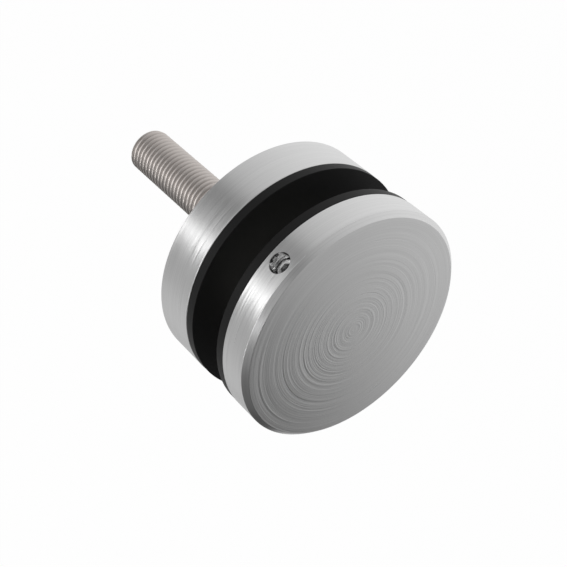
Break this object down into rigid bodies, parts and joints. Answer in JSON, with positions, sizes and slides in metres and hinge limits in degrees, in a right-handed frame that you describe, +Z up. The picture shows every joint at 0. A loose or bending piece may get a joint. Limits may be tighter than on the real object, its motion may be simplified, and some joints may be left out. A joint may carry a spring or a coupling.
{
  "type": "glass panel standoff",
  "caption": "Round steel point fixing for a drilled glass panel: a base disc on a wall bolt, rubber gaskets either side of the glass, and a screw-on cap with a set screw.",
  "frame": {"origin": "centre of the base's wall face, on the bolt's axis", "axes": "+Y along the bolt into the wall, -Y out through the cap, +Z up the wall, +X to the right seen from the front"},
  "size_m": [0.05, 0.073, 0.05],
  "materials": {
    "brushed_steel": "turned and brushed in fine rings",
    "bolt_steel": "rolled thread, satin",
    "black_rubber": "matt",
    "white_nylon": "natural nylon, satin",
    "screw_steel": "plain steel, satin"
  },
  "bodies": {
    "wall_side": {"base_disc": "brushed_steel", "wall_bolt": "bolt_steel", "rear_gasket": "black_rubber", "glass_sleeve": "white_nylon"},
    "gasket_carrier": {"front_gasket": "black_rubber"},
    "cap": {"cap": "brushed_steel"},
    "lock_screw": {"lock_screw": "screw_steel"}
  },
  "joints": [
    {"name": "cap_travel", "type": "slide", "parent": "wall_side", "child": "gasket_carrier", "axis": [0, -1, 0], "range_m": [-0.00125, 0.00375]},
    {"name": "cap_turn", "type": "hinge", "parent": "gasket_carrier", "child": "cap", "pos_m": [0, -0.0245, 0], "axis": [0, -1, 0], "range_deg": [-300, 900]},
    {"name": "lock_screw_travel", "type": "slide", "parent": "cap", "child": "lock_screw", "axis": [-0.5736, 0, 0.8192], "range_m": [0, 0.01]}
  ],
  "couplings": [
    {"joint": "cap_travel", "follows": "cap_turn", "m_per_rad": 0.00023873}
  ]
}
